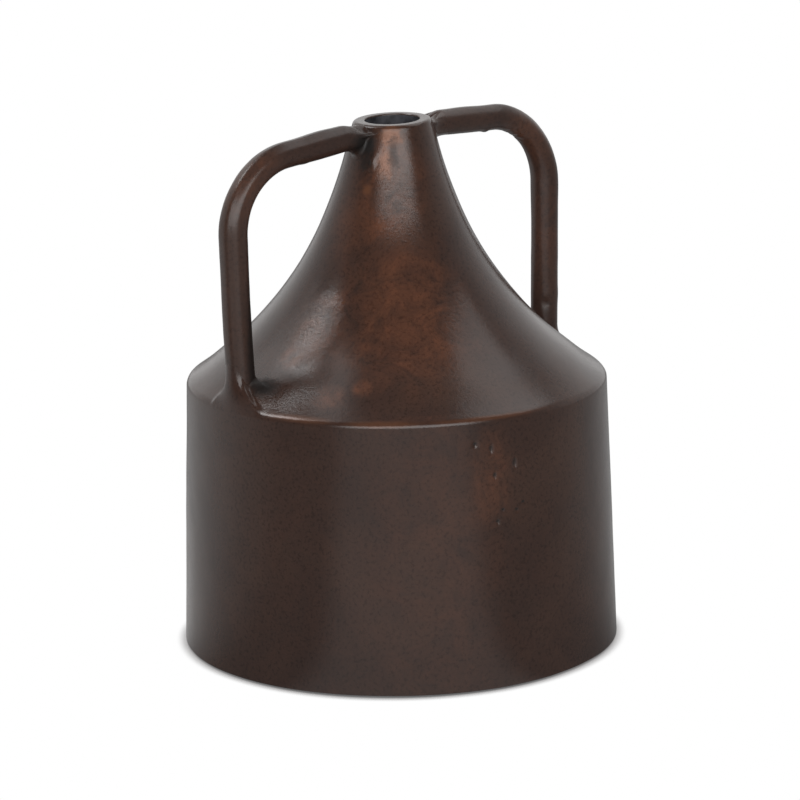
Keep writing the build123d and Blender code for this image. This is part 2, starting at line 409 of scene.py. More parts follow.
# Angle and height of the side on which the upright leg of a handle is thicker
LEG_SWELL = {"left": (-0.68, 0.7), "right": (0.68, 1.0)}
LEG_SWELL_WIDTH = 0.9
flash = {
    "left": [((-52.0, 0, 304.0), 11.0, 0.55), ((-66.5, -3.8, 289.0), 3.0, 0.35)],
    "right": [((52, 0, 306.5), 10.0, 0.5), ((82, 0, 304.5), 9.0, 0.3),
              ((67.5, -2.3, 290.6), 2.2, 0.8), ((92.9, -4.1, 285.1), 4.0, 0.3), ((98, -3, 281), 3.0, -0.3),
              ((109.9, -6.5, 182.6), 3.0, -0.6), ((116.5, -6.0, 187.0), 5.0, 0.35)],
}
ROD_WANDER, WANDER_REACH = 0.5, 70.0
ROD_WAVES = [(0.28, 30.0), (0.07, 8.0)]
# Place, reach, depth and grain of the patch that was ground on the right handle
GROUND_PATCH, GROUND_REACH, GROUND_DEPTH, GROUND_GRAIN = np.array((88.0, -1.0, 286.0)), 11.0, 0.45, 2.6


def rod_points(name, along, around):
    """Points of a rod's surface at these lengths along it and angles round it."""
    side = handles[name]["side"]
    length, *lines = handles[name]["line"]
    reach, height, turn = (np.interp(along, length, line) for line in lines)
    middle = np.stack([side * reach, np.zeros_like(reach), height], axis=-1)
    middle[..., 1] += ROD_WANDER * wave(middle, WANDER_REACH)
    outward = np.stack([side * np.sin(turn), np.zeros_like(turn), -np.cos(turn)], axis=-1)
    direction = outward * np.cos(around)[..., None]
    direction[..., 1] -= np.sin(around)
    radius = ROD_RADIUS - FLAT_DEPTH
    swell_angle, swell = LEG_SWELL[name]
    swellings = [(angle, width, RIDGE_SHARE[name] * ridge) for angle, width, ridge in RIDGES]
    swellings.append((swell_angle, LEG_SWELL_WIDTH, swell * np.sin(turn) ** 4))
    for angle, width, lift in swellings:
        radius = radius + lift * hill((around - angle + pi) % (2 * pi) - pi, width)
    plain = middle + direction * ROD_RADIUS
    for height_of_wave, wave_reach in ROD_WAVES:
        radius = radius + height_of_wave * wave(plain, wave_reach)
    if name == "right":
        ground = hill(np.linalg.norm(plain - GROUND_PATCH, axis=-1), GROUND_REACH)
        radius = radius + GROUND_DEPTH * ground * wave(plain, GROUND_GRAIN)
    for centre, half_width, lump in flash[name]:
        radius = radius + lump * hill(np.linalg.norm(plain - np.array(centre), axis=-1), half_width)
    return middle + direction * radius[..., None]


ROD_COLUMNS = 96
rod_angles = full_turn(ROD_COLUMNS)
cosine, sine = np.cos(rod_angles), np.sin(rod_angles)
BURIED, NECK_ZONE, SMOOTHING = 1.6, 250.0, 6


def rod_ends(name):
    """For each column, the lengths at which the rod leaves the shoulder and enters the neck."""
    length = handles[name]["line"][0]
    points = rod_points(name, *np.meshgrid(length, rod_angles, indexing="ij"))
    radius = np.hypot(points[..., 0], points[..., 1])
    shoulder_height = flare_height_at(np.minimum(radius, SHOULDER_RADIUS))
    clear = points[..., 2] > shoulder_height - BURIED
    neck_radius = flare_radius_at(np.minimum(points[..., 2], MOUTH_HEIGHT))
    inside = (radius < neck_radius - BURIED) & (points[..., 2] > NECK_ZONE)
    return length[clear.argmax(axis=0)], length[np.where(inside.any(axis=0), inside.argmax(axis=0), -1)]


def round_the_rod(stops, mirror=1):
    """Value for each column from (degrees from the rod's outer side, value) stops, softly joined."""
    values = np.interp(np.degrees(np.arccos(cosine)), *zip(*stops)) * np.where(sine < 0, mirror, 1)
    for _ in range(SMOOTHING):
        values = (np.roll(values, 1) + 2 * values + np.roll(values, -1)) / 4
    return values


# How far up the rod each foot weld begins, and how far before the neck the other weld does
FOOT_RISE = {
    "left": [(0, 36), (40, 33), (55, 27), (66, 23), (80, 21), (110, 24), (180, 28)],
    "right": [(0, 23), (40, 22), (70, 20), (100, 20), (140, 23), (180, 26)],
}
NECK_LEAD = {"left": 12.0, "right": 16.0}
TAPER = 0.3
ROD_ROWS = 250
rows_along = np.linspace(0, 1, ROD_ROWS)[:, None]


def drawn_in(rings, share):
    """Rings drawn in towards their middles by a share of their size."""
    middle = rings.mean(axis=1, keepdims=True)
    return middle + (rings - middle) * (1 - share)[..., None]


for name, handle in handles.items():
    handle["start"], handle["end"] = rod_ends(name)
    handle["rise"] = foot_rise = round_the_rod(FOOT_RISE[name])
    handle["lead"] = handle["end"] - NECK_LEAD[name]
    along = handle["start"] + (handle["end"] - handle["start"]) * rows_along
    rings = rod_points(name, along, np.broadcast_to(rod_angles, along.shape))
    in_foot = np.clip((foot_rise - along) / (foot_rise - handle["start"]), 0, 1)
    in_neck = np.clip((along - handle["lead"]) / NECK_LEAD[name], 0, 1)
    rings = drawn_in(rings, TAPER * np.maximum(in_foot, in_neck) ** 2)
    handle["rod"] = ring_piece(f"{name}_handle_rod", rings, [f"{name}_handle"], hoop=False)

# %% [markdown]
# ## The welds at the handle ends
#
# At the shoulder the rod's outer face runs straight on into the drum wall, and the crease climbs its
# two sides like a gusset. At the neck a smaller fillet tucks under the lip. A boolean union with a
# bevel would give an even fillet, and these are not even. Instead each column of the rod is led off
# the rod by a Bezier curve that lands flat on the skin: four points decide the whole shape.

# %% Lead a rod onto the skin
COLLAR_ROWS = 30
SUNK, COLLAR_CLEARANCE, SOFTNESS = 0.08, 0.12, 0.02
CORE_SHARE = 0.5


def clear_of_skin(points, clearance):
    """Points pushed out of the cast skin until they softly keep a clearance from it."""
    radius = np.hypot(points[..., 0], points[..., 1])
    away = np.stack([radius, points[..., 2]], axis=-1)[..., None, :] - skin_line
    nearest = (away**2).sum(axis=-1).argmin(axis=-1)
    outward = skin_normal[nearest]
    distance = (np.take_along_axis(away, nearest[..., None, None], axis=2)[..., 0, :] * outward).sum(axis=-1)
    short = clearance + relief(points) - distance
    push = (short + np.sqrt(short**2 + SOFTNESS)) / 2
    pushed = points.copy()
    pushed[..., :2] *= (1 + push * outward[..., 0] / radius)[..., None]
    pushed[..., 2] += push * outward[..., 1]
    return pushed


def grid_normals(rings):
    """Outward direction at every point of rows of rings."""
    across = np.roll(rings, -1, axis=1) - np.roll(rings, 1, axis=1)
    return unit(np.cross(np.gradient(rings, axis=0), across))


def collar(name, start, towards, landing_length, landing_side, aim, pull, run_in=0.0):
    """Rings that leave a rod at start and land on the skin, with their outward directions.

    towards is +1 where the collar runs on along the rod and -1 where it runs back, landing_side is
    the distance round the vase from the handle's middle, and aim is the (side, up) direction in
    which each column slides onto the skin. Columns with a run_in of 1 go straight on with the rod.
    """
    side = handles[name]["side"]
    radius = np.interp(landing_length, skin_length, skin_line[:, 0])
    azimuth = (0 if side > 0 else pi) - side * landing_side / radius
    landing, normal = skin_points(landing_length, azimuth)
    sideways = np.stack([-np.sin(azimuth), np.cos(azimuth), np.zeros_like(azimuth)], axis=-1)
    slide = unit(-side * sideways * aim[0][:, None] + np.cross(normal, sideways) * aim[1][:, None])
    rod = rod_points(name, start, rod_angles)
    ahead = unit(rod_points(name, start + towards, rod_angles) - rod)
    neighbours = np.stack([rod_points(name, start + step, rod_angles) for step in (-1.0, 0.0, 1.0)])
    rod_normal = grid_normals(neighbours)[1]
    rod_normal *= np.sign((rod_normal * (rod - rod.mean(axis=0))).sum(axis=1).mean())
    landing = landing + run_in * (rod_points(name, handles[name]["end"], rod_angles) - landing)
    slide = slide + run_in * (ahead - slide)
    normal = normal + run_in * (rod_normal - normal)
    gap = np.linalg.norm(landing - rod, axis=1, keepdims=True)
    anchors = (rod - SUNK * rod_normal, rod + ahead * gap * pull[0],
               landing - slide * gap * pull[1], landing - SUNK * normal)
    share = np.linspace(0, 1, COLLAR_ROWS)[:, None, None]
    weights = ((1 - share) ** 3, 3 * share * (1 - share) ** 2, 3 * share**2 * (1 - share), share**3)
    rings = sum(weight * anchor for weight, anchor in zip(weights, anchors))
    clearance = COLLAR_CLEARANCE - (COLLAR_CLEARANCE + SUNK) * share[..., 0] ** 6
    rings = rings + (1 - run_in) * (clear_of_skin(rings, clearance) - rings)
    normals = grid_normals(rings)
    normals *= np.sign((normals[0] * rod_normal).sum())
    normals[0], normals[-1] = rod_normal, normal
    return rings, normals


def collar_piece(name, end, rings, normals, core_ends):
    """Weld collar, closed by a core of rings that lies inside the rod, with its smooth outside kept."""
    core = np.stack([rod_points(name, handles[name][place], rod_angles) for place in core_ends])
    core = drawn_in(core, np.full((2, 1), CORE_SHARE))
    closed = np.concatenate([rings, core])
    piece = ring_piece(f"{name}_{end}_flare", closed, [f"{name}_{end}_weld"])
    core_normals = np.array([vertex.normal for vertex in piece.data.vertices])[rings.shape[0] * ROD_COLUMNS:]
    all_normals = np.vstack([normals.reshape(-1, 3), core_normals])
    piece.data.normals_split_custom_set_from_vertices(all_normals.tolist())
    return piece


# %% Foot welds, where the crease climbs the rod
# Where the columns land, round the vase and uphill from the crease, and how they run there: the outer
# ones straight down the drum wall, with a ridge along their edge, and the inner ones in a hollow.
# The right weld is smaller than the left one, and both are narrower on the far side
FOOT_SPREAD = {"left": 1.0, "right": 0.6}
FAR_SIDE = 0.75
FOOT_AIM = 9.5
foot_side = round_the_rod([
    (0, 0), (20, 3), (40, 8), (54, 15), (66, 25), (75, 28), (90, 29), (105, 28), (120, 26), (140, 19),
    (160, 10), (180, 0)], -FAR_SIDE)
foot_uphill = round_the_rod([
    (0, -8), (40, -8), (55, -7), (66, -5), (80, 0), (90, 3), (105, 8), (120, 14), (140, 20), (180, 24)])
sidelong = round_the_rod([(0, 0.2), (66, 0.25), (85, 0.8), (100, 1), (180, 1)])
foot_length = crease_length - foot_uphill
leaving = round_the_rod([
    (0, 0.28), (40, 0.28), (60, 0.24), (75, 0.15), (100, 0.22), (140, 0.28), (180, 0.40)])
arriving = round_the_rod([(0, 0.50), (66, 0.50), (78, 0.35), (95, 0.20), (140, 0.28), (180, 0.40)])
foot_pull = (leaving[:, None], arriving[:, None])

for name, handle in handles.items():
    spread = foot_side * FOOT_SPREAD[name]
    foot_aim = (spread * sidelong, foot_uphill - FOOT_AIM)
    rings, normals = collar(name, handle["rise"], -1, foot_length, spread, foot_aim, foot_pull)
    handle["foot"] = collar_piece(name, "foot", rings, normals, ("start", "rise"))

# %% Neck welds, tucked under the lip
NECK_HALF_WIDTH = {"left": 8.0, "right": 13.0}
NECK_SMEAR, SMEAR_RISE = 8.0, 1.6
# Top of the weld under the lip, its middle under the rod's, and how far it goes down from there
UNDER_LIP, UNDER_MIDDLE, UNDER_ROD = {"left": 2.6, "right": 1.2}, 3.0, {"left": 12.0, "right": 10.0}
SIDE_POWER, TOP_POWER = 0.85, 0.35
# Cosine of the angle within which the rod runs straight in under the lip
RUNS_IN_FROM, RUN_IN_RISE = {"left": 0.92, "right": 1.0}, 0.07
NECK_PULL = (0.50, 0.38)
middle_length = length_at_height(NECK_HEIGHT - UNDER_MIDDLE)

for name, handle in handles.items():
    uphill = middle_length - length_at_height(MOUTH_HEIGHT - UNDER_LIP[name])
    half_width = NECK_HALF_WIDTH[name] + NECK_SMEAR * np.clip(cosine * SMEAR_RISE, 0, 1)
    neck_side = half_width * np.sign(sine) * np.abs(sine) ** SIDE_POWER
    climb = np.where(cosine > 0, uphill * np.abs(cosine) ** TOP_POWER, UNDER_ROD[name] * cosine)
    on_top = np.clip((cosine - RUNS_IN_FROM[name]) / RUN_IN_RISE, 0, 1)[:, None]
    rings, normals = collar(name, handle["lead"], 1, middle_length - climb, neck_side, (neck_side, climb),
                            NECK_PULL, on_top)
    handle["neck"] = collar_piece(name, "neck", rings, normals, ("end", "lead"))

# %% [markdown]
# ## Under the vase
#
# Nobody sees the underside on a shelf, but it is turned over once in a while. A disc with the rings
# of the lathe tool closes the drum, a rippled weld bead holds it, and four rubber feet keep the rim
# off the table.

# %% Base disc with its turning rings
TURNING_PITCH, TURNING_DEPTH, DISC_ROUND = 4.0, 0.12, 0.8
disc_columns = full_turn(180)
disc_radius = rebate_radius - FIT_GAP
ring_radii = np.arange(1.0, disc_radius - 1.0, TURNING_PITCH / 4)
turning = base_underside + TURNING_DEPTH * (0.5 - 0.5 * np.cos(2 * pi * ring_radii / TURNING_PITCH))
disc_profile = [
    *zip(ring_radii, turning),
    *soft_corner((disc_radius - DISC_ROUND, base_underside), (disc_radius, base_underside),
                 (disc_radius, base_underside + DISC_ROUND), 6),
    (disc_radius, base_top),
    *[(radius, base_top) for radius in np.linspace(disc_radius - 4, 1.0, 14)],
]
disc_rings = turned(disc_profile, disc_columns)
disc = ring_piece("base_disc", disc_rings, ["base_plate"], hoop=False)

# %% Weld bead round the base disc
BEAD_LEG, RIPPLE_PITCH, RIPPLE_DEPTH, RIPPLE_SWEEP = 1.8, 2.4, 0.14, 1.2
bead_corner = 0.55 * BEAD_LEG
ripple_count = int(2 * pi * rebate_radius / RIPPLE_PITCH)
bead_columns = full_turn(ripple_count * 6)
bead_face = soft_corner((rebate_radius - BEAD_LEG, base_underside),
                        (rebate_radius - bead_corner, base_underside - bead_corner),
                        (rebate_radius, base_underside - BEAD_LEG), 9)
bead_rings = turned([*bead_face, (rebate_radius, base_underside)], bead_columns)
bulge = np.sin(np.linspace(0, pi, len(bead_face)))[:, None]
ripple = RIPPLE_DEPTH * bulge * np.cos(ripple_count * bead_columns + RIPPLE_SWEEP * bulge)
outward = np.stack([np.cos(bead_columns), np.sin(bead_columns), np.ones_like(bead_columns)], axis=-1)
bead_rings[:len(bead_face)] -= ripple[..., None] * outward
bead = ring_piece("base_weld_bead", bead_rings, ["base_seam_weld"])

# %% Rubber feet
FOOT_RADIUS, FOOT_ROUND, FOOT_INSET = 9.0, 1.2, 31.0
foot_columns = full_turn(64)
foot_profile = np.array([
    (0.3, 0.5), (4.6, 0.5), (5.0, 0.25), (5.3, 0.0),
    *soft_corner((FOOT_RADIUS - FOOT_ROUND, 0.0), (FOOT_RADIUS, 0.0), (FOOT_RADIUS, FOOT_ROUND), 8),
    (FOOT_RADIUS, base_underside - 0.5),
    (FOOT_RADIUS - 0.3, base_underside),
    (0.3, base_underside),
])
feet = []
for number in range(1, 5):
    angle = radians(90 * number - 45)
    middle = (rebate_radius - FOOT_INSET) * np.array([np.cos(angle), np.sin(angle), 0])
    rings = turned(foot_profile, foot_columns) + middle
    pad = ring_piece(f"rubber_pad_{number}", rings, [f"rubber_foot_{number}"], hoop=False)
    feet.append(pad)

# %% [markdown]
# ## Building materials from nodes
#
# A patina is many thin layers, and a material for it is many small nodes. A few short helpers keep the
# code readable. They make the ramps, sums, mixes and textures that come up again and again.

# %% Helpers for nodes
def set_inputs(tree, node, inputs):
    """Sets the inputs of a node to values, or links them to sockets."""
    for key, value in inputs.items():
        if isinstance(value, bpy.types.NodeSocket):
            tree.links.new(value, node.inputs[key])
        else:
            node.inputs[key].default_value = value


def add_node(tree, kind, inputs=None, **settings):
    """New node of a kind, with properties from settings and socket values from inputs."""
    node = tree.nodes.new(kind)
    for key, value in settings.items():
        setattr(node, key, value)
    set_inputs(tree, node, inputs or {})
    return node


def ramp(tree, source, stops):
    """Colour ramp fed by a value, from (position, colour) stops; a number is a grey."""
    node = add_node(tree, "ShaderNodeValToRGB", {"Fac": source})
    elements = node.color_ramp.elements
    while len(elements) < len(stops):
        elements.new(0.5)
    for element, (position, colour) in zip(elements, stops):
        element.position = position
        element.color = (*(colour if isinstance(colour, tuple) else (colour,) * 3), 1.0)
    return node.outputs["Color"]


def calc(tree, operation, *values):
    """Result of one step on values or sockets."""
    return add_node(tree, "ShaderNodeMath", dict(enumerate(values)), operation=operation).outputs[0]


def vector_calc(tree, operation, *values):
    """Outputs of one step on vectors or sockets."""
    return add_node(tree, "ShaderNodeVectorMath", dict(enumerate(values)), operation=operation).outputs


def blend(tree, share, first, second, way="MIX"):
    """Mix of two colours by a share."""
    inputs = {"Factor": share, 6: first, 7: second}
    return add_node(tree, "ShaderNodeMix", inputs, data_type="RGBA", blend_type=way).outputs[2]


def noise_value(tree, place, scale, detail, roughness, distortion=0.0):
    """Value of a noise texture whose features are about 1 / scale metres apart."""
    node = add_node(tree, "ShaderNodeTexNoise", {
        "Vector": place, "Scale": scale, "Detail": detail, "Roughness": roughness, "Distortion": distortion})
    return node.outputs["Fac"]


def new_group(name, **sockets):
    """Empty node group with its sockets; returns it and its two end nodes."""
    group = bpy.data.node_groups.new(name, "ShaderNodeTree")
    for in_out, kinds in sockets.items():
        for label, kind in kinds.items():
            group.interface.new_socket(label, in_out=in_out, socket_type=f"NodeSocket{kind}")
    return group, group.nodes.new("NodeGroupInput"), group.nodes.new("NodeGroupOutput")


def new_material(name):
    """New material with nodes; returns it, its tree and its shader."""
    material = bpy.data.materials.new(name)
    material.use_nodes = True
    return material, material.node_tree, material.node_tree.nodes["Principled BSDF"]


# %% [markdown]
# ### Mottled patina
#
# The brown was brushed on hot and wiped, so it is cloudy: broad dark clouds, smaller rusty ones and a
# fine grain from the casting sand. All pieces use the place on the vase as the texture place, so the
# clouds run on from one piece to the next.

# %% Node group for the mottled patina
mottle, mottle_in, mottle_out = new_group(
    "mottled_patina",
    INPUT={"Warmth": "Float"},
    OUTPUT={"Colour": "Color", "Roughness": "Float", "Height": "Float", "Uneven": "Float"},
)
place = add_node(mottle, "ShaderNodeTexCoord").outputs["Object"]
clouds = noise_value(mottle, place, 13.0, 4.0, 0.6, 0.6)
blots = noise_value(mottle, place, 46.0, 8.0, 0.72, 0.8)
sand = noise_value(mottle, place, 520.0, 3.0, 0.6)
grain = noise_value(mottle, place, 1500.0, 2.0, 0.5)
cloud_colour = ramp(mottle, clouds, [
    (0.30, (0.034, 0.020, 0.0165)), (0.50, (0.045, 0.0255, 0.0200)), (0.72, (0.059, 0.033, 0.0245))])
rusty = calc(mottle, "MULTIPLY", ramp(mottle, blots, [(0.32, 0), (0.72, 1)]), mottle_in.outputs["Warmth"])
RUST = (0.140, 0.057, 0.033, 1)
warm_colour = blend(mottle, rusty, cloud_colour, RUST)
fleck = ramp(mottle, sand, [(0.34, 0.55), (0.46, 1), (0.68, (1.18, 1.14, 1.10))])
height = calc(mottle, "ADD", calc(mottle, "MULTIPLY", grain, 0.5), sand)
uneven = noise_value(mottle, place, 260.0, 5.0, 0.75)
set_inputs(mottle, mottle_out, {
    "Colour": blend(mottle, 0.6, warm_colour, fleck, "MULTIPLY"),
    "Roughness": ramp(mottle, blots, [(0.3, 0.23), (0.7, 0.16)]),
    "Height": calc(mottle, "MULTIPLY_ADD", blots, 1.2, height),
    "Uneven": calc(mottle, "SUBTRACT", uneven, 0.5),
})
print("group mottled_patina:", len(mottle.nodes), "nodes")

# %% [markdown]
# ### Patches
#
# Where hands and cloths go, the brown is thin and warm metal shows: on the neck, down the front of the
# shoulder and along the crease. Dark patches paint shade in the coves by the welds and in the pits,
# with some soot on the neck, and in places the casting is coarser. Each of these is a patch: a soft
# ball of influence round a place. Where it is rubbed, dark or coarse, its edge is broken up by the
# unevenness of the patina, so that it does not look sprayed.

# %% Node group for one patch
patch_group, patch_in, patch_out = new_group(
    "broken_patch",
    INPUT={"Centre": "Vector", "Reach": "Vector", "Break Up": "Float", "Uneven": "Float"},
    OUTPUT={"Mask": "Float"},
)
place = add_node(patch_group, "ShaderNodeTexCoord").outputs["Object"]
offset = vector_calc(patch_group, "SUBTRACT", place, patch_in.outputs["Centre"])[0]
scaled = vector_calc(patch_group, "DIVIDE", offset, patch_in.outputs["Reach"])[0]
away = vector_calc(patch_group, "LENGTH", scaled)["Value"]
ragged = calc(patch_group, "MULTIPLY_ADD", patch_in.outputs["Uneven"], patch_in.outputs["Break Up"], away)
falloff = {"Value": ragged, "From Min": 1.0, "From Max": 0.25}
near = add_node(patch_group, "ShaderNodeMapRange", falloff, interpolation_type="SMOOTHSTEP")
patch_group.links.new(near.outputs["Result"], patch_out.inputs["Mask"])
print("group broken_patch:", len(patch_group.nodes), "nodes")


def patch_mask(tree, patches, uneven=0.0):
    """Largest mask of patches given as (centre, reach, break up, strength)."""
    masks = []
    for centre, reach, break_up, strength in patches:
        patch = add_node(tree, "ShaderNodeGroup", {
            "Centre": Vector(centre) * MM, "Reach": Vector(reach) * MM, "Break Up": break_up,
            "Uneven": uneven}, node_tree=patch_group)
        masks.append(calc(tree, "MULTIPLY", patch.outputs["Mask"], strength))
    largest = masks[0]
    for mask in masks[1:]:
        largest = calc(tree, "MAXIMUM", largest, mask)
    return largest


# %% [markdown]
# ### The patinated metal and the weld metal
#
# All brown pieces have the same shader with other patches. Thick patina under wax behaves like a dark
# lacquer: its colour is brown and its gloss is white, so it is hardly metallic. Where it is rubbed, the
# colour is warmer and the gloss takes on some of it. Soot, and the shade painted into coves and pits, is
# darker and dull. The patches are given by their place on the vase in millimetres.

# %% Material builder
PATINA_IOR = 1.5
RUBBED, RUBBED_METALLIC = (0.210, 0.088, 0.046, 1), 0.3
# Dark colour and dull finish of soot, also used to paint shade into the coves by the welds and the pits
SOOT_AND_SHADE, SOOT_AND_SHADE_ROUGHNESS = (0.012, 0.009, 0.008, 1), 0.5
COARSENESS = 2.8
BUMP_STRENGTH, BUMP_DISTANCE = 0.22, 0.0003


def patina_material(name, warmth, warm_patches, rubbed_patches, soot_and_shade_patches, coarse_patches=(), dulled=0.0):
    """Patinated metal with places warmer, rubbed thin, coarser, or dark and dull with soot and painted shade.
    """
    material, tree, shader = new_material(name)
    warmer = calc(tree, "ADD", patch_mask(tree, warm_patches), warmth)
    base = add_node(tree, "ShaderNodeGroup", {"Warmth": warmer}, node_tree=mottle)
    uneven, height = base.outputs["Uneven"], base.outputs["Height"]
    colour, roughness = base.outputs["Colour"], calc(tree, "ADD", base.outputs["Roughness"], dulled)
    if rubbed_patches:
        rubbed = patch_mask(tree, rubbed_patches, uneven)
        colour = blend(tree, rubbed, colour, RUBBED)
        set_inputs(tree, shader, {"Metallic": calc(tree, "MULTIPLY", rubbed, RUBBED_METALLIC)})
    # Dark, dull patches: soot, and painted shade in coves and pits
    soot_and_shade = patch_mask(tree, soot_and_shade_patches, uneven)
    colour = blend(tree, soot_and_shade, colour, SOOT_AND_SHADE)
    dullness = calc(tree, "SUBTRACT", SOOT_AND_SHADE_ROUGHNESS, roughness)
    roughness = calc(tree, "MULTIPLY_ADD", dullness, soot_and_shade, roughness)
    if coarse_patches:
        coarseness = calc(tree, "MULTIPLY_ADD", patch_mask(tree, coarse_patches, uneven), COARSENESS, 1.0)
        height = calc(tree, "MULTIPLY", height, coarseness)
    bump = add_node(tree, "ShaderNodeBump", {
        "Strength": BUMP_STRENGTH, "Distance": BUMP_DISTANCE, "Height": height})
    set_inputs(tree, shader, {
        "Base Color": colour, "Roughness": roughness, "Normal": bump.outputs["Normal"], "IOR": PATINA_IOR})
    print(f"{name}: {len(tree.nodes)} nodes")
    return material


# %% Where the patina is warm, rubbed, sooty, painted with shade or coarse
# Centre, reach, break up and strength of each patch; the warm ones keep soft edges
SHOULDER_WARMTH = [
    ((-40, -56, 205), (52, 52, 85), 0, 1),
    ((-22, -23, 265), (28, 26, 62), 0, 1.15),
    ((-38, -9, 248), (22, 22, 35), 0, 0.5),
    ((-70, -25, 196), (32, 32, 32), 0, 0.75),
    ((-59, -23, 211), (10, 10, 12), 0, 1),
    ((-86.5, -15, 183), (12, 12, 12), 0, 1),
    ((-76.9, -64.4, 171.8), (9, 9, 9), 0, 1.2),
    ((-91.7, -54.3, 166.8), (13, 13, 10), 0, 1.2),
]
DRUM_WARMTH = [
    ((-60, -108, 90), (55, 50, 130), 0, 0.25),
    ((-30, -119.4, 123), (18, 12, 42), 0, 0.8),
]
HANDLE_WARMTH = [
    ((-106, -5, 285), (30, 20, 30), 0, 0.6),
    ((111, -7, 230), (16, 12, 50), 0, 0.35),
    ((98, -6, 283), (30, 20, 25), 0, 0.5),
]
NECK_RUBS = [
    ((-16.5, -18.5, 300), (10, 10, 9), 1.8, 0.8),
    ((-20.5, -19, 285), (6, 6, 18), 2.0, 0.7),
    ((-29.4, -13, 270.5), (3.8, 3.8, 4.8), 1.4, 0.8),
]
CREASE_RUBS = [
    ((-108.5, -48, 156.8), (20, 32, 2.4), 0.5, 0.35),
    ((-82, -88, 156), (28, 28, 2.4), 0.6, 0.4),
    ((-30, -115, 156.2), (50, 20, 1.8), 0.8, 0.35),
]
# Painted shade: dark, dull patches in the cove under the left neck weld, in the cove of the left foot weld
# and down the shaded inner side of the left leg
WELD_COVE_SHADE = [
    ((-27.2, -7.8, 294.5), (13, 10, 11.5), 0.8, 1),
    ((-107, -12.5, 169), (10, 15, 10), 0.8, 0.9),
    ((-108.5, -6.5, 190), (7, 7.5, 60), 0.4, 0.95),
]
# Soot and painted shade: the first patch paints the shade under the left handle beside the weld run, the
# second is a dark streak of soot down the neck
NECK_SOOT_AND_SHADE = [
    ((-27.8, -8.8, 286.5), (6, 7, 9), 1.2, 0.8),
    ((-16.3, -21.2, 290), (4.5, 4.5, 24), 2.0, 0.6),
]
# Painted shade: a dark, dull patch over the upper part of each casting pit
PIT_SHADE = [(skin_place(azimuth, height + 0.5), (1.8, 1.8, 1.1 * size), 0.3, 0.9)
            for azimuth, height, _, size, _ in pits]
COARSE_PLACES = [
    ((-74, -16, 196), (26, 22, 30), 0.8, 1),
    ((-18, -20, 285), (22, 22, 40), 0.8, 0.45),
]

shoulder_patina = patina_material(
    "shoulder_patina", 0.14, SHOULDER_WARMTH, NECK_RUBS, WELD_COVE_SHADE + NECK_SOOT_AND_SHADE, COARSE_PLACES)
drum_patina = patina_material("drum_patina", 0.12, DRUM_WARMTH, [], PIT_SHADE)
handle_patina = patina_material("handle_patina", 0.14, HANDLE_WARMTH, [], WELD_COVE_SHADE, dulled=0.10)
weld_patina = patina_material("weld_patina", 0.14, SHOULDER_WARMTH + DRUM_WARMTH, CREASE_RUBS, WELD_COVE_SHADE)

# %% [markdown]
# ### Bare inside and rubber
#
# Nobody waxed the inside: it is the raw, blue-grey skin that the casting had, coloured nearly black,
# which also paints the shade inside the mouth. The feet are dusty black rubber. Both have only a grain
# of their own.

# %% Materials of the inside and the feet
def plain_material(name, dark, light, rough, scale):
    """Dull material with a grain between two colours."""
    material, tree, shader = new_material(name)
    place = add_node(tree, "ShaderNodeTexCoord").outputs["Object"]
    dust = noise_value(tree, place, scale, 4.0, 0.6)
    bump = add_node(tree, "ShaderNodeBump", {"Strength": 0.3, "Distance": BUMP_DISTANCE, "Height": dust})
    set_inputs(tree, shader, {
        "Base Color": ramp(tree, dust, [(0.35, dark), (0.7, light)]),
        "Roughness": ramp(tree, dust, [(0.3, rough[0]), (0.7, rough[1])]),
        "Normal": bump.outputs["Normal"],
    })
    return material


# The nearly black inside colour also paints the shade in the mouth
raw_inside_and_shade = plain_material("raw_inside_and_shade", (0.014, 0.014, 0.017), (0.090, 0.090, 0.104), (0.45, 0.65), 120.0)
foot_rubber = plain_material("foot_rubber", (0.018, 0.018, 0.018), (0.045, 0.043, 0.041), (0.75, 0.92), 300.0)

welds = [handle[end] for handle in handles.values() for end in ("foot", "neck")]
coats = [
    (shoulder_patina, [shoulder]),
    (drum_patina, [drum, disc]),
    (handle_patina, [handle["rod"] for handle in handles.values()]),
    (weld_patina, [seam, bead, *welds]),
    (raw_inside_and_shade, [shoulder, drum]),
    (foot_rubber, feet),
]
for material, pieces in coats:
    for piece in pieces:
        piece.data.materials.append(material)
    print(f"{material.name}: {', '.join(piece.name for piece in pieces)}")

# %% [markdown]
# ## Floor, light and camera
#
# The photograph has a white sweep, with only a thin dark line where the vase stands. The floor is pale
# paper that is lit like everything else, but the camera sees it at full white, darkened only where the
# vase keeps the light out. From below it is clear, so that the underside can be looked at. The glossy
# metal mirrors the paper too: three pools of light, and dimmer paper between. The room is a soft
# gradient: a white backdrop behind the vase, a dim room and a dark ceiling in front.

# %% Floor
floor_mesh = bpy.data.meshes.new("paper_floor")
FLOOR_HALF = 6.0
corners = [(x * FLOOR_HALF, y * FLOOR_HALF, 0) for x, y in ((-1, -1), (1, -1), (1, 1), (-1, 1))]
floor_mesh.from_pydata(corners, [], [(0, 1, 2, 3)])
floor = add_object("paper_floor", floor_mesh)

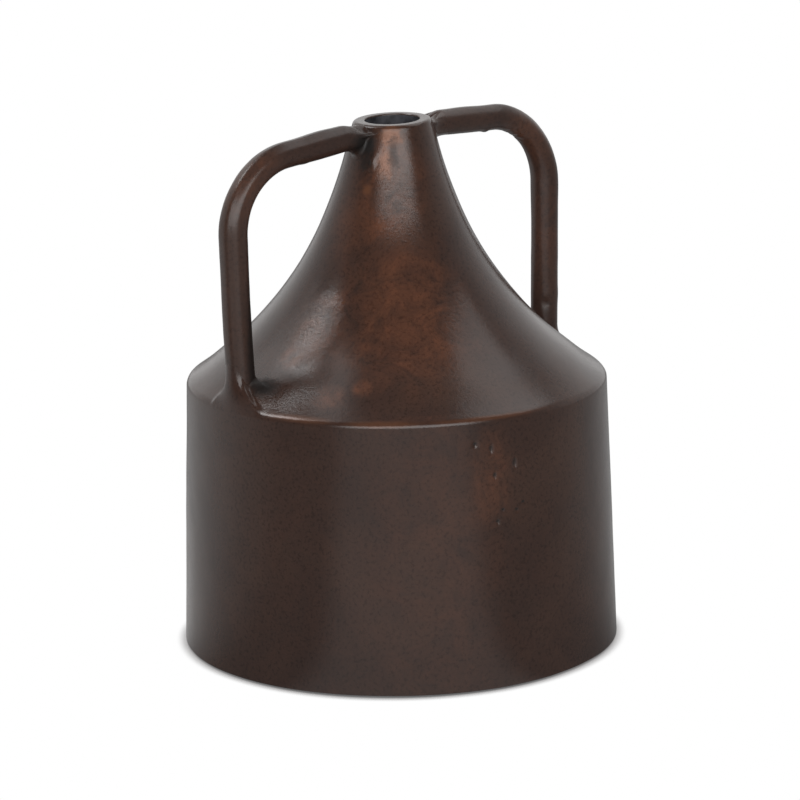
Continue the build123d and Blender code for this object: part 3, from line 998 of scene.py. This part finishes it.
# Azimuth of each pool of light on the paper, and its brightness by the cosine of the angle from there
FLOOR_POOLS = [
    (115, [(0.57, 0.18), (0.78, 0.34), (0.93, 0.50), (1.0, 0.57)]),
    (10, [(0.42, 0.18), (0.65, 0.24), (0.90, 0.34), (1.0, 0.42)]),
    (-125, [(0.78, 0.18), (0.88, 0.52)]),
]
paper, tree, _ = new_material("white_paper")
tree.nodes.clear()
contact = add_node(tree, "ShaderNodeAmbientOcclusion", {"Distance": 0.009})
shade = ramp(tree, contact.outputs["AO"], [(0.0, 0.05), (0.55, (0.45, 0.44, 0.44)), (0.85, 1)])
geometry = add_node(tree, "ShaderNodeNewGeometry").outputs
aside = vector_calc(tree, "NORMALIZE", geometry["Position"])[0]
pools = []
for azimuth, stops in FLOOR_POOLS:
    heading = Vector((np.cos(radians(azimuth)), np.sin(radians(azimuth)), 0))
    toward = vector_calc(tree, "DOT_PRODUCT", aside, heading)["Value"]
    pools.append(ramp(tree, toward, stops))
sweep = calc(tree, "MAXIMUM", calc(tree, "MAXIMUM", pools[0], pools[1]), pools[2])
path = add_node(tree, "ShaderNodeLightPath")
seen = blend(tree, path.outputs["Is Camera Ray"], sweep, shade)
glow = add_node(tree, "ShaderNodeEmission", {"Color": seen})
sheet = add_node(tree, "ShaderNodeBsdfDiffuse", {"Color": (0.4, 0.4, 0.4, 1)})
in_view = calc(tree, "MAXIMUM", path.outputs["Is Camera Ray"], path.outputs["Is Glossy Ray"])
both = add_node(tree, "ShaderNodeMixShader", {0: in_view, 1: sheet.outputs[0], 2: glow.outputs[0]})
clear = add_node(tree, "ShaderNodeBsdfTransparent")
sides = {0: geometry["Backfacing"], 1: both.outputs[0], 2: clear.outputs[0]}
surface = add_node(tree, "ShaderNodeMixShader", sides)
add_node(tree, "ShaderNodeOutputMaterial", {"Surface": surface.outputs[0]})
floor_mesh.materials.append(paper)
print("floor:", floor.name)

# %% Backdrop and room
BACKDROP = Vector((0.63, 0.78, 0.0))
world = bpy.data.worlds.new("white_studio")
bpy.context.scene.world = world
world.use_nodes = True
tree = world.node_tree
tree.nodes.clear()
place = add_node(tree, "ShaderNodeTexCoord").outputs["Generated"]
behind = calc(tree, "MULTIPLY_ADD", vector_calc(tree, "DOT_PRODUCT", place, BACKDROP)["Value"], 0.5, 0.5)
around = ramp(tree, behind, [
    (0.26, 0.03), (0.36, 0.10), (0.50, 0.30), (0.66, 0.48), (0.82, 0.65), (0.95, 0.9)])
height = add_node(tree, "ShaderNodeSeparateXYZ", {0: place}).outputs["Z"]
overhead = ramp(tree, height, [(0.45, 1), (0.80, 0.25)])
mirrored = blend(tree, 1.0, around, overhead, "MULTIPLY")
bounced = ramp(tree, behind, [(0.30, 0.12), (0.80, 0.60)])
path = add_node(tree, "ShaderNodeLightPath")
room_colour = blend(tree, path.outputs["Is Glossy Ray"], bounced, mirrored)
room = add_node(tree, "ShaderNodeBackground", {"Color": room_colour})
white = add_node(tree, "ShaderNodeBackground", {"Color": (1, 1, 1, 1)})
seen = {0: path.outputs["Is Camera Ray"], 1: room.outputs[0], 2: white.outputs[0]}
both = add_node(tree, "ShaderNodeMixShader", seen)
add_node(tree, "ShaderNodeOutputWorld", {"Surface": both.outputs[0]})
print("world:", world.name)

# %% [markdown]
# ### Softboxes
#
# The highlights on the vase tell where its lights stood. The patch on the left of the shoulder mirrors a
# light behind and to the left, high up. It fades out softly, so a small box, a larger diffuser and a
# faint reflector share the place. The streak down the neck mirrors a broad box round the camera, and the
# sheen on the right a long one. Each is placed by its direction from the vase, and its power follows from
# its brightness and its area.

# %% Softboxes
VASE_MIDDLE = Vector((0, 0, 0.2))


def softbox(name, azimuth, elevation, distance, size, brightness):
    """Area light in a direction from the vase (degrees) that faces it."""
    turn, rise = radians(azimuth), radians(elevation)
    direction = Vector((np.cos(rise) * np.cos(turn), np.cos(rise) * np.sin(turn), np.sin(rise)))
    lamp = bpy.data.lights.new(name, "AREA")
    lamp.shape = "RECTANGLE"
    lamp.size, lamp.size_y = size
    lamp.energy = brightness * pi * size[0] * size[1]
    light = add_object(name, lamp)
    light.location = VASE_MIDDLE + direction * distance
    light.rotation_euler = (-direction).to_track_quat("-Z", "Y").to_euler()
    print(f"{name}: {lamp.energy:.1f} W")


softbox("left_softbox", 135, 51.0, 1.5, (0.50, 0.40), 5.0)
softbox("left_diffuser", 126, 57, 1.6, (0.80, 0.95), 1.25)
softbox("left_reflector", 108, 38, 1.7, (0.80, 0.50), 0.6)
softbox("right_softbox", -5, 57, 1.6, (1.6, 0.70), 1.2)
softbox("front_softbox", -122.5, 18.5, 2.6, (3.57, 1.4), 3.2)

# %% Camera of the photograph
camera_data = bpy.data.cameras.new("photo_camera")
camera_data.lens = 173.41
camera_data.sensor_width = 36.0
camera = add_object("photo_camera", camera_data)
camera_place = Vector((-1.36713, -1.69430, 0.67406))
look_at = Vector((0.00128, -0.00103, 0.14048))
CAMERA_ROLL = radians(-1.021)
turn = (look_at - camera_place).to_track_quat("-Z", "Y").to_matrix() @ Matrix.Rotation(CAMERA_ROLL, 3, "Z")
camera.matrix_world = Matrix.Translation(camera_place) @ turn.to_4x4()
bpy.context.scene.camera = camera
bpy.context.scene.view_settings.view_transform = "Standard"
print("camera", tuple(round(value, 3) for value in camera.location))
